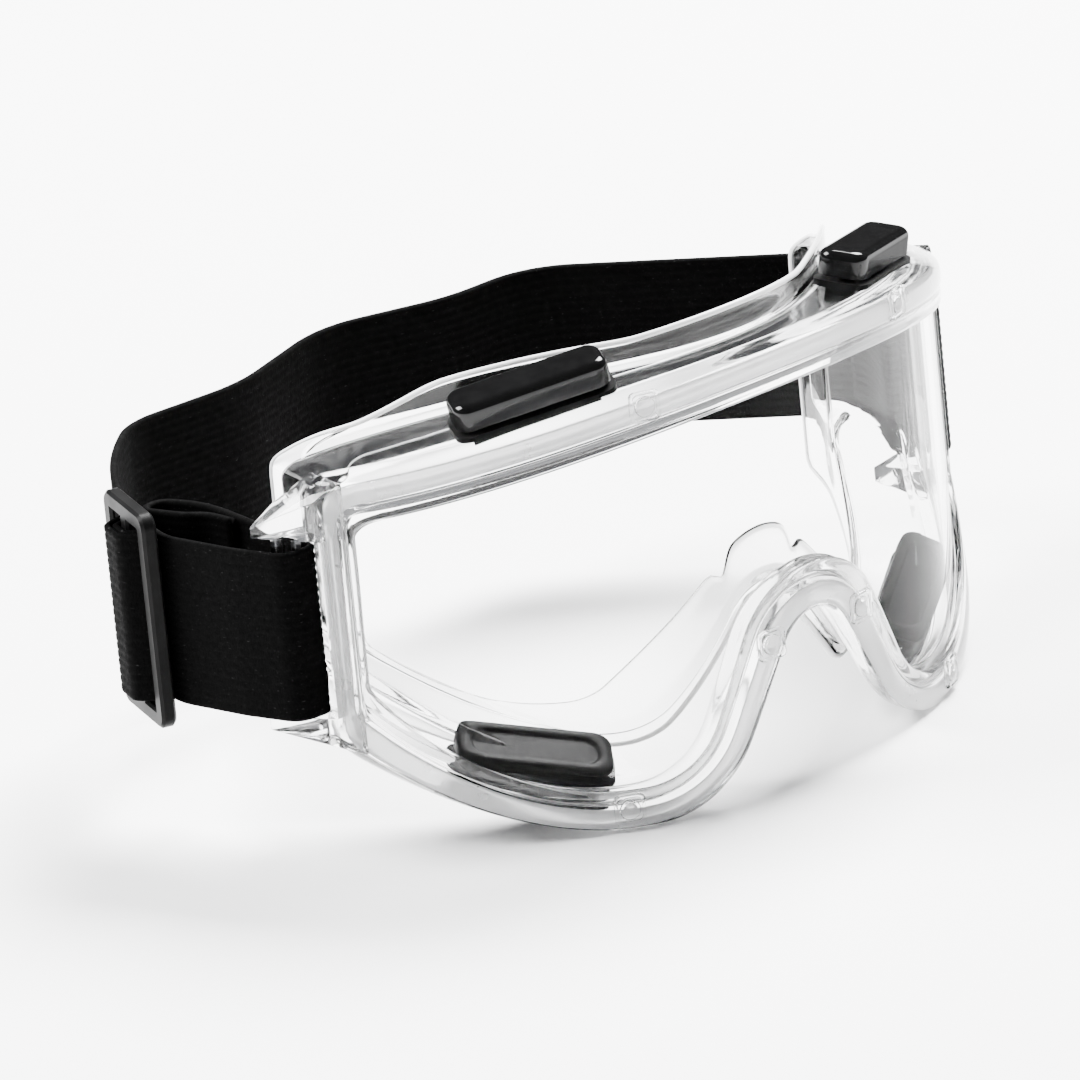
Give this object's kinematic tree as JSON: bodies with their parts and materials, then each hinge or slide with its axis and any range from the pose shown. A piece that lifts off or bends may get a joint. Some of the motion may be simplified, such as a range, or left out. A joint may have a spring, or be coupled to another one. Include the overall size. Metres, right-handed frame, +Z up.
{
  "type": "safety goggles",
  "caption": "Clear chemical-splash goggles: wrap-round lens in a soft frame with capped vents, a wide elastic head strap and a sliding strap adjuster.",
  "frame": {"origin": "on the table, under the middle of the whole object's bounding box, strap included; the goggles' mirror plane is 3.1 mm to +X of it", "axes": "+Z up, -Y the way the wearer looks, +X towards the wearer's left, +Y towards the back of the head strap"},
  "size_m": [0.1983, 0.1473, 0.0986],
  "materials": {
    "clear_frame": "clear soft vinyl, glossy",
    "clear_lens": "clear polycarbonate, polished",
    "vent_base": "dark grey, satin",
    "vent_cap": "black, glossy",
    "webbing": "black ribbed elastic webbing",
    "slider_plastic": "black, satin",
    "thread": "black polyester thread"
  },
  "bodies": {
    "goggles": {"frame_body": "clear_frame", "lens": "clear_lens", "vent_base_top_left": "vent_base", "vent_cap_top_left": "vent_cap", "vent_base_top_right": "vent_base", "vent_cap_top_right": "vent_cap", "vent_base_bottom_left": "vent_base", "vent_cap_bottom_left": "vent_cap", "vent_base_bottom_right": "vent_base", "vent_cap_bottom_right": "vent_cap", "strap_band": "webbing", "end_stitching": "thread"},
    "slider": {"strap_slider": "slider_plastic", "strap_tail": "webbing", "tail_stitching": "thread"}
  },
  "joints": [
    {"name": "slider_travel", "type": "hinge", "parent": "goggles", "child": "slider", "pos_m": [-0.0023, -0.01375, 0.0471], "axis": [0, 0, -1], "range_deg": [0, 24]}
  ]
}
